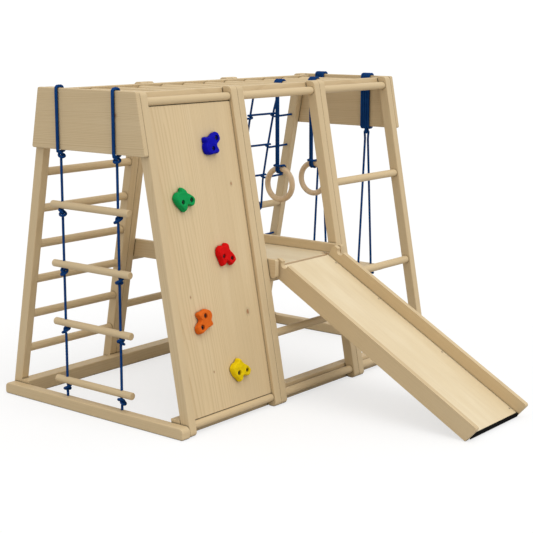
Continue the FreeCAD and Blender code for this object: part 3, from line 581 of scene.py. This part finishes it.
def tied_overhand():
    """Centre line of an overhand knot drawn tight along Z, in rope radii. A loose knot is
    shortened step by step, while stretches of rope that touch push each other apart."""
    t = np.linspace(0.12, 2 * math.pi - 0.12, 300)
    around = (2 + np.cos(3 * t)) * 2.2
    loop = np.stack([around * np.cos(2 * t) - 6.6, around * np.sin(2 * t), np.sin(3 * t) * 2.4], 1)
    path = np.concatenate([[[0, 0, KNOT_END]], loop, [[0, 0, -KNOT_END]]])
    for _ in range(KNOT_ROUNDS):
        path = evenly(path, KNOT_STEP)
        for _ in range(2):
            path[1:-1] += 0.25 * (path[:-2] + path[2:] - 2 * path[1:-1])
        place = np.arange(len(path))
        apart = np.abs(place[:, None] - place[None]) > NEIGHBOUR / KNOT_STEP
        for _ in range(5):
            gap = path[:, None] - path[None]
            size = np.sqrt((gap ** 2).sum(2)) + 1e-9
            hit = apart & (size < TOUCHING)
            push = np.where(hit, (TOUCHING - size) / size * 0.5, 0)[:, :, None] * gap
            path += push.sum(1) / np.maximum(hit.sum(1), 1)[:, None] * 1.2
            centre = path[np.abs(path[:, 2]) < 3.0].mean(0)
            path[0] = (centre[0], centre[1], KNOT_END)
            path[-1] = (centre[0], centre[1], -KNOT_END)
    path = path[::-1]
    first = int(np.argmax(path[:, 2] > -KNOT_EXIT))
    last = len(path) - 1 - int(np.argmax(path[::-1, 2] < KNOT_EXIT))
    tied = path[first:last + 1]
    share = np.clip(tied[:, 2:] / (2 * KNOT_EXIT) + 0.5, 0, 1)
    tied[:, :2] -= tied[0, :2] * (1 - share) + tied[-1, :2] * share
    below = [[0, 0, -z] for z in KNOT_TAIL]
    above = [[0, 0, z] for z in KNOT_TAIL[::-1]]
    return np.concatenate([below, tied, above]) * KNOT_SPREAD


OVERHAND = tied_overhand()


def knot(centre, radius, turn, high=KNOT_END):
    """The overhand knot up to a height in rope radii, placed on an upright rope."""
    last = len(OVERHAND) - 1
    while OVERHAND[last, 2] > high:
        last -= 1
    path = OVERHAND[:last + 1] * radius
    c, s = math.cos(turn), math.sin(turn)
    spun = np.stack([path[:, 0] * c - path[:, 1] * s, path[:, 0] * s + path[:, 1] * c,
                     path[:, 2]], 1)
    return spun + np.asarray(centre, float)


def tube(path, radius, closed=False):
    """Braided rope along a path: points, quads, and lay coordinates (around, along, height)."""
    path = evenly(path, radius * ALONG_STEP)
    if closed:
        path = path[:-1]
        ahead = np.roll(path, -1, 0) - np.roll(path, 1, 0)
    else:
        for _ in range(2):
            path[1:-1] += 0.25 * (path[:-2] + path[2:] - 2 * path[1:-1])
        ahead = np.gradient(path, axis=0)
    ahead /= np.linalg.norm(ahead, axis=1)[:, None]
    side = np.zeros_like(path)
    first = np.cross(ahead[0], (0.3, 0.5, 0.81))
    side[0] = first / np.linalg.norm(first)
    for k in range(1, len(path)):
        carried = side[k - 1] - ahead[k] * (side[k - 1] @ ahead[k])
        side[k] = carried / np.linalg.norm(carried)
    other = np.cross(ahead, side)
    count = len(path)
    slip = np.zeros(count)
    if closed:
        back = side[-1] - ahead[0] * (side[-1] @ ahead[0])
        off = math.atan2(back @ other[0], back @ side[0])
        slip = np.linspace(0, -off, count)
    turn = np.linspace(0, 2 * math.pi, AROUND, endpoint=False)
    angle = turn[None, :] + slip[:, None]
    gap = radius * ALONG_STEP
    cells = count * gap / (radius * 1.15)
    cells = 2 * round(cells / 2) if closed else cells
    along = np.arange(count) * cells / count
    a = LAY_STRANDS * turn[None, :] / (2 * math.pi) + along[:, None] / 2
    b = LAY_STRANDS * turn[None, :] / (2 * math.pi) - along[:, None] / 2
    over = (np.floor(a) + np.floor(b)) % 2 < 0.5
    ridge_a = np.sin(math.pi * (a % 1)) ** 0.6 * (0.45 + 0.55 * np.sin(math.pi * (b % 1)))
    ridge_b = np.sin(math.pi * (b % 1)) ** 0.6 * (0.45 + 0.55 * np.sin(math.pi * (a % 1)))
    lay = np.where(over, ridge_a, ridge_b)
    out = radius * (1 + LAY_DEPTH * (lay - 0.62))
    points = (path[:, None] + out[:, :, None] * (np.cos(angle)[:, :, None] * side[:, None]
                                                 + np.sin(angle)[:, :, None] * other[:, None]))
    points = points.reshape(-1, 3)
    i = np.arange(count if closed else count - 1)[:, None]
    j = np.arange(AROUND)[None, :]
    below, above = i * AROUND, ((i + 1) % count) * AROUND
    quads = np.stack([below + j, below + (j + 1) % AROUND, above + (j + 1) % AROUND, above + j], -1)
    quads = quads.reshape(-1, 4)
    ends = []
    if not closed:
        ends = [list(range(AROUND))[::-1],
                list(range((count - 1) * AROUND, count * AROUND))]
    v = np.repeat(np.arange(count) * gap, AROUND)
    u = np.tile(turn / (2 * math.pi), count)
    return points, quads, ends, lay.reshape(-1), u, v


def rope_piece(name, runs, body, replaced, material):
    """One piece from several rope runs, each a (path, radius, closed) triple."""
    points, faces, lays, us, vs = [], [], [], [], []
    total = 0
    for path, radius, closed in runs:
        p, quads, ends, lay, u, v = tube(path, radius, closed)
        points.append(p)
        faces.extend((quads + total).tolist())
        faces.extend([[k + total for k in end] for end in ends])
        lays.append(lay)
        us.append(u)
        vs.append(v)
        total += len(p)
    mesh = bpy.data.meshes.new(name)
    mesh.from_pydata(np.concatenate(points).tolist(), [], faces)
    for key, values in (("lay", lays), ("around", us), ("along", vs)):
        layer = mesh.attributes.new(key, "FLOAT", "POINT")
        layer.data.foreach_set("value", np.concatenate(values).astype(np.float32))
    mesh.polygons.foreach_set("use_smooth", [len(f) == 4 for f in faces])
    mesh.validate()
    mesh.update()
    piece = bpy.data.objects.new(name, mesh)
    bpy.context.scene.collection.objects.link(piece)
    mesh.materials.append(material)
    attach(piece, body)
    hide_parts(*replaced)
    return piece


def rope_material(name, face, painted_valley_shade):
    """Braided polypropylene: shiny strands, painted shade in the hollows between them, fine
    filaments, a little fuzz.
    """
    material, g = new_material(name)
    lay = g.node("Attribute", attribute_name="lay").outputs["Fac"]
    along = g.node("Attribute", attribute_name="along").outputs["Fac"]
    place = g.node("TexCoord").outputs["Object"]
    filament = g.noise(place, 2400.0, 2.0, 0.6)
    faded = g.noise(place, 26.0, 3.0)
    tracer = g.noise(g.join(g.times(along, 60.0), 0.0, 0.0), 1.0, 2.0)
    # painted shade: the darker colour in the hollows between the braid strands
    colour = g.mix(g.range(lay, 0.15, 0.85), painted_valley_shade, face)
    light = [c * 1.35 + 0.003 for c in face]
    colour = g.mix(g.times(g.range(faded, 0.45, 0.75), 0.35), colour, light)
    colour = g.tint(colour, g.times(g.range(filament, 0.3, 0.7, 0.86, 1.12, False),
                                    g.range(tracer, 0.3, 0.7, 0.95, 1.05, False)))
    rough = g.range(lay, 0.2, 0.9, 0.78, 0.56, False)
    height = g.add(g.times(filament, 0.6), lay)
    g.finish(colour, rough, height, 0.40, 0.0005, **{"Sheen Weight": 0.02, "Sheen Roughness": 0.5,
                                                     "Sheen Tint": (0.15, 0.50, 1.0, 1.0),
                                                     "Specular IOR Level": 0.09})
    return material


# strand colour, then the painted shade colour of the hollows between strands
BLUE_ROPE = rope_material("blue_rope", (0.0030, 0.055, 0.225), (0.0006, 0.010, 0.052))
BLUE_CORD = rope_material("blue_cord", (0.0030, 0.057, 0.230), (0.0006, 0.011, 0.055))

# ---- rope ladder ------------------------------------------------------------------------
low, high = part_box("board_end_left")
board_x = (low.x + high.x) / 2.0
board_half = (high.x - low.x) / 2.0
board_top, board_bottom = high.z, low.z
loop_half = board_half + BOARD_ROPE + PLAY
loop_top = board_top + BOARD_ROPE + PLAY

low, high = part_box("ladder_ropes")
mid_y = (low.y + high.y) / 2.0
ladder_half = (high.y - low.y) / 2.0 - KNOT_RADIUS
low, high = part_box("ladder_rungs")
rung_radius = (high.x - low.x) / 2.0
first_rung, last_rung = low.z + rung_radius, high.z - rung_radius
rung_heights = np.linspace(first_rung, last_rung, 4)
base_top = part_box("rail_base_left")[1].z
STOP = 2.85 * HANG_ROPE     # from the middle of a stopper knot to the piece above it
TOP_KNOT_DROP = 0.0180     # from the end board down to the middle of the knot under it
SUNK = 0.024               # how far the ladder rope runs into the base rail
TURN_BEND = 0.011          # bend of the rope over the edges of an end board

runs = []
for side in (-1, 1):
    y = mid_y + side * ladder_half
    under = board_bottom - TOP_KNOT_DROP
    path = [np.array([[board_x, y, base_top - SUNK]])]
    for step, z in enumerate(rung_heights):
        path.append(knot((board_x, y, z - rung_radius - STOP), HANG_ROPE, 2.1 + step + side))
    path.append(knot((board_x, y, under), HANG_ROPE, 0.4 * side, high=2.0))
    runs.append((np.concatenate(path), HANG_ROPE, False))
    neck = under + 2.0 * HANG_ROPE
    turn_under = board_bottom - BOARD_ROPE - PLAY
    corners = [(board_x - 0.001, y, neck - 0.007), (board_x - 0.003, y, turn_under),
               (board_x - loop_half, y, turn_under),
               (board_x - loop_half, y, loop_top), (board_x + loop_half, y, loop_top),
               (board_x + loop_half, y, turn_under),
               (board_x + 0.003, y, turn_under), (board_x + 0.001, y, neck - 0.007)]
    runs.append((rounded(corners, TURN_BEND), BOARD_ROPE, False))
rope_piece("rope_ladder", runs, "frame", ["ladder_ropes"], BLUE_ROPE)

# ---- swing slings and ropes -------------------------------------------------------------
seat_swing = next(joint for joint in frame["joints"] if joint["name"] == "seat_swing")
swing_z = seat_swing["pos_m"][2]
low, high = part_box("board_end_right")
swing_x = (low.x + high.x) / 2.0
seat_low, seat_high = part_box("swing_seat")
TURN_PITCH = 2.0 * BOARD_ROPE + 0.0004
EYE = HANG_ROPE + BOARD_ROPE + 0.0004      # middle of the bight to the middle of the eye
FREE_END = 0.044           # free end of a swing rope below the middle of its knot


def sling_half(y, way):
    """Half a sling, from the foot of its eye: two turns round the board to one side."""
    near, far = y + way * TURN_PITCH / 2.0, y + way * TURN_PITCH * 1.5
    out = swing_x + way * loop_half
    back = swing_x - way * loop_half
    bottom = board_bottom - BOARD_ROPE - PLAY
    arc = [(swing_x + way * EYE * math.sin(t), y + way * 0.0015 * t,
            swing_z - EYE * math.cos(t)) for t in np.linspace(0, 1.5, 7)]
    corners = [(swing_x + way * (EYE + 0.001), y + way * 0.004, swing_z + 0.006),
               (out, near, board_bottom + 0.004),
               (out, near, loop_top), (back, near, loop_top), (back, near, bottom),
               (out, far, bottom), (out, far, loop_top), (back, far, loop_top),
               (back, far, bottom), (swing_x + way * 0.008, far, bottom)]
    return arc, corners


def swing_leg(y, way, spread):
    """One rope of the swing, from its free end under the seat up to the bight."""
    x = swing_x + way * spread
    foot = seat_low.z - STOP
    tied = knot((x, y, foot), HANG_ROPE, 1.7 * way + 40 * y)
    tied[0] = (x + 0.002, y, foot - FREE_END)
    return np.concatenate([tied, rounded([(x, y, foot + KNOT_END * HANG_ROPE + 0.004),
                                          (x, y, seat_high.z + 0.018),
                                          (swing_x + way * 0.003, y - way * 1.15 * HANG_ROPE,
                                           swing_z - 0.036),
                                          (swing_x, y - way * EYE, swing_z - 0.008)], 0.016)])


for name in ("front", "back"):
    y = middle("swing_rope_" + name).y
    halves = []
    for way in (1, -1):
        arc, corners = sling_half(y, way)
        halves.append(np.concatenate([arc, rounded(corners, TURN_BEND)]))
    path = np.concatenate([halves[1][::-1], halves[0][1:]])
    rope_piece("sling_" + name, [(path, BOARD_ROPE, False)], "frame", ["swing_sling_" + name],
               BLUE_ROPE)
    low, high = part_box("swing_rope_" + name)
    spread = (high.x - low.x) / 2.0 - KNOT_RADIUS
    left, right = swing_leg(y, -1, spread), swing_leg(y, 1, spread)
    bight = [(swing_x, y + EYE * math.sin(t), swing_z - EYE + EYE * math.cos(t))
             for t in np.linspace(1.45, -1.45, 13)]
    path = np.concatenate([left, bight, right[::-1]])
    rope_piece("rope_swing_" + name, [(path, HANG_ROPE, False)], "swing",
               ["swing_rope_" + name], BLUE_ROPE)

# ---- ring ropes -------------------------------------------------------------------------
low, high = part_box("bars_overhead")
bar_radius = (high.z - low.z) / 2.0
bar_z = (high.z + low.z) / 2.0


def ring_rope(name):
    """Doubled rope: two turns of each leg over the bar, both legs down the left side of the
    bar, and a cow hitch on the ring with its bight across the front of the legs."""
    low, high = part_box("ring_" + name)
    centre = (low + high) / 2.0
    tube_radius = (high.x - low.x) / 2.0
    ring_radius = (high.z - low.z) / 2.0 - tube_radius
    r = STRAP_ROPE
    pitch = 2.0 * r + 0.0002
    wrap = tube_radius + PLAY + r
    over = bar_radius + PLAY + r

    def on_ring(x, y, z):
        """x out of the ring's plane, y round the ring, z away from its tube's middle."""
        turn = y / ring_radius
        return (centre.x + x, centre.y + (ring_radius + z) * math.sin(turn),
                centre.z + (ring_radius + z) * math.cos(turn))

    halves = []
    for side in (-1, 1):
        half = [on_ring(-wrap - 2.02 * r, 0.0, 0.0165),
                on_ring(-wrap - 1.90 * r, side * 0.65 * pitch, 0.0162),
                on_ring(-wrap - 1.00 * r, side * 1.18 * pitch, 0.0160),
                on_ring(-wrap * 0.66, side * 1.48 * pitch, wrap * 0.92)]
        for t in np.linspace(math.pi / 2, -math.pi, 18):
            place = side * pitch * (0.53 + 1.08 * ((t + math.pi) / (1.5 * math.pi)) ** 0.7)
            half.append(on_ring(wrap * math.cos(t), place, wrap * math.sin(t)))
        inner = centre.y + side * pitch / 2.0
        half.append((centre.x - wrap, inner, centre.z + ring_radius + 0.030))
        half.append((centre.x - over, inner, bar_z - 0.020))
        for t in np.linspace(math.pi, -2.4 * math.pi, 60):
            place = 0.5 + min(max(-t / math.pi, 0.0), 1.0) + max(-t / math.pi - 2.0, 0.0)
            half.append((centre.x + over * math.cos(t), centre.y + side * pitch * place,
                         bar_z + over * math.sin(t)))
        halves.append(half)
    path = evenly(np.array(halves[0][::-1] + halves[1][1:]), 0.0025)
    for _ in range(3):
        path[1:-1] += 0.25 * (path[:-2] + path[2:] - 2 * path[1:-1])
    return path


for name in ("left", "right"):
    rope_piece("ring_rope_" + name, [(ring_rope(name), STRAP_ROPE, False)], "ring_" + name,
               ["ring_strap_" + name], BLUE_ROPE)

# ---- net --------------------------------------------------------------------------------
low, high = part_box("rungs_left_back")
foot_z, top_z = low.z + ROD_RADIUS, high.z - ROD_RADIUS
foot_y = high.y - ROD_RADIUS
NET_STEPS = 8
STEP_OF_ROD = 4
bay_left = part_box("post_back_5")[1].x
bay_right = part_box("post_back_6")[0].x
OUTWARD = Vector((0, UP_BACK.z, -UP_BACK.y))
plane_foot = Vector((0, foot_y, foot_z))
net_tall = (top_z - foot_z) / UP_BACK.z
WRAP = ROD_RADIUS + 0.0004 + NET_CORD
SQUEEZED = 0.0178          # how far back a loop may go where a rail is behind its rod
CORD_BEND = 0.006
IN_POST = 0.011            # how far a row runs into the post at each end
ROW_STEP = 0.008           # the middle of a row is this much above it, its ends as far below
# How far the two upright cords wander sideways at each level, from the foot up.
SWAY = ((0, 0, 0, 0, 0, 0, 0, 0, -0.014),
        (0, 0, 0, 0, -0.006, 0.009, 0.010, 0.015, 0.016))


def in_net(x, out, up):
    point = plane_foot + OUTWARD * out + UP_BACK * up
    return (x, point.y, point.z)


def rod_wrap(x, up, start, end, limit):
    """Helix round a rod, angles from the room side over the top."""
    turns = np.linspace(start, end, 22)
    shift = np.linspace(-0.5, 0.5, 22) * 2.3 * NET_CORD * (end - start) / (2 * math.pi)
    return [in_net(x + s, min(-WRAP * math.cos(t), limit), up + WRAP * math.sin(t))
            for t, s in zip(turns, shift)]


runs = []
columns = [bay_left + (bay_right - bay_left) * share / 3.0 for share in (1, 2)]
levels = [net_tall * step / NET_STEPS for step in range(NET_STEPS + 1)]
for place, sway in zip(columns, SWAY):
    path = rod_wrap(place + sway[0], levels[0], -1.4 * math.pi, 2.0 * math.pi, SQUEEZED)
    for step in range(1, NET_STEPS):
        x = place + sway[step]
        if step == STEP_OF_ROD:
            path += rod_wrap(x, levels[step], 0.0, 2 * math.pi, WRAP)
        else:
            path += [in_net(x, 0, levels[step] - 0.02), in_net(x, 0, levels[step] + 0.02)]
    path += rod_wrap(place + sway[-1], levels[-1], 0.0, 3.4 * math.pi, SQUEEZED)
    runs.append((rounded(path, CORD_BEND, 4), NET_CORD, False))
for step in range(1, NET_STEPS):
    if step == STEP_OF_ROD:
        continue
    up = levels[step]
    path = [in_net(bay_left - IN_POST, 0, up - ROW_STEP),
            in_net(bay_left + 0.004, 0, up - ROW_STEP)]
    for place, sway, rise in zip(columns, SWAY, (ROW_STEP, -ROW_STEP)):
        x = place + sway[step]
        reach = 2.02 * NET_CORD
        path.append(in_net(x - 0.013, -reach, up - rise))
        for t in np.linspace(0, 2 * math.pi, 18):
            path.append(in_net(x + reach * math.sin(t), -reach * math.cos(t),
                               up - rise * (1 - t / math.pi)))
        path.append(in_net(x + 0.013, -reach, up + rise))
    path += [in_net(bay_right - 0.004, 0, up - ROW_STEP),
             in_net(bay_right + IN_POST, 0, up - ROW_STEP)]
    runs.append((rounded(path, CORD_BEND, 4), NET_CORD, False))
rope_piece("net_cords", runs, "frame", ["net"], BLUE_CORD)


# ---- floor, light and camera ------------------------------------------------------------
FLOOR_REACH = 40.0
floor_mesh = bpy.data.meshes.new("floor")
floor_mesh.from_pydata([(-FLOOR_REACH, -FLOOR_REACH, 0), (FLOOR_REACH, -FLOOR_REACH, 0),
                        (FLOOR_REACH, FLOOR_REACH, 0), (-FLOOR_REACH, FLOOR_REACH, 0)], [],
                       [(0, 1, 2, 3)])
floor = bpy.data.objects.new("floor", floor_mesh)
bpy.context.scene.collection.objects.link(floor)
floor.location.z = -0.0005     # just under the feet, so that the two faces don't flicker
floor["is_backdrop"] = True
material, g = new_material("studio_floor")
seen = g.node("LightPath").outputs["Is Camera Ray"]
glow = g.node("Emission", {"Color": (1, 1, 1, 1), "Strength": 1.0})
lit = g.node("BsdfDiffuse", {"Color": (0.97, 0.97, 0.97, 1)})
bounce = g.node("BsdfDiffuse", {"Color": (0.56, 0.555, 0.55, 1)})
shown = g.node("MixShader", {0: 0.34, 1: glow.outputs[0], 2: lit.outputs[0]})
both = g.node("MixShader", {0: seen, 1: bounce.outputs[0], 2: shown.outputs[0]})
out = g.node("OutputMaterial", {0: both.outputs[0]})
floor_mesh.materials.append(material)

world = bpy.data.worlds.new("studio")
bpy.context.scene.world = world
world.use_nodes = True
world.node_tree.nodes.clear()
g = Graph(world.node_tree)
seen = g.node("LightPath").outputs["Is Camera Ray"]
sky = g.node("Background", {0: (1.0, 0.995, 0.985, 1), 1: 0.80})
white = g.node("Background", {0: (1, 1, 1, 1), 1: 1.05})
both = g.node("MixShader", {0: seen, 1: sky.outputs[0], 2: white.outputs[0]})
out = g.node("OutputWorld", {0: both.outputs[0]})


def soft_sun(name, towards, strength, spread):
    lamp = bpy.data.lights.new(name, "SUN")
    lamp.energy = strength
    lamp.angle = math.radians(spread)
    holder = bpy.data.objects.new(name, lamp)
    bpy.context.scene.collection.objects.link(holder)
    holder.rotation_mode = "QUATERNION"
    holder.rotation_quaternion = Vector(towards).to_track_quat("Z", "Y")


KEY_FROM = (-0.12, -0.55, 0.83)
soft_sun("key", KEY_FROM, 1.20, 50)

camera_data = bpy.data.cameras.new("camera")
camera = bpy.data.objects.new("camera", camera_data)
bpy.context.scene.collection.objects.link(camera)
CAMERA_PLACE = (-4.2786, -3.2237, 1.5698)
CAMERA_RIGHT = Vector((0.62949, -0.77701, 0.00118))
CAMERA_UP = Vector((0.14705, 0.12062, 0.98175))
turned = Matrix((CAMERA_RIGHT, CAMERA_UP, CAMERA_RIGHT.cross(CAMERA_UP))).transposed().to_4x4()
camera.matrix_world = Matrix.Translation(CAMERA_PLACE) @ turned
camera_data.sensor_width = 36.0
camera_data.lens = 86.72
camera_data.clip_end = 200.0
bpy.context.scene.camera = camera
bpy.context.scene.view_settings.view_transform = "Standard"

low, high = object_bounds()
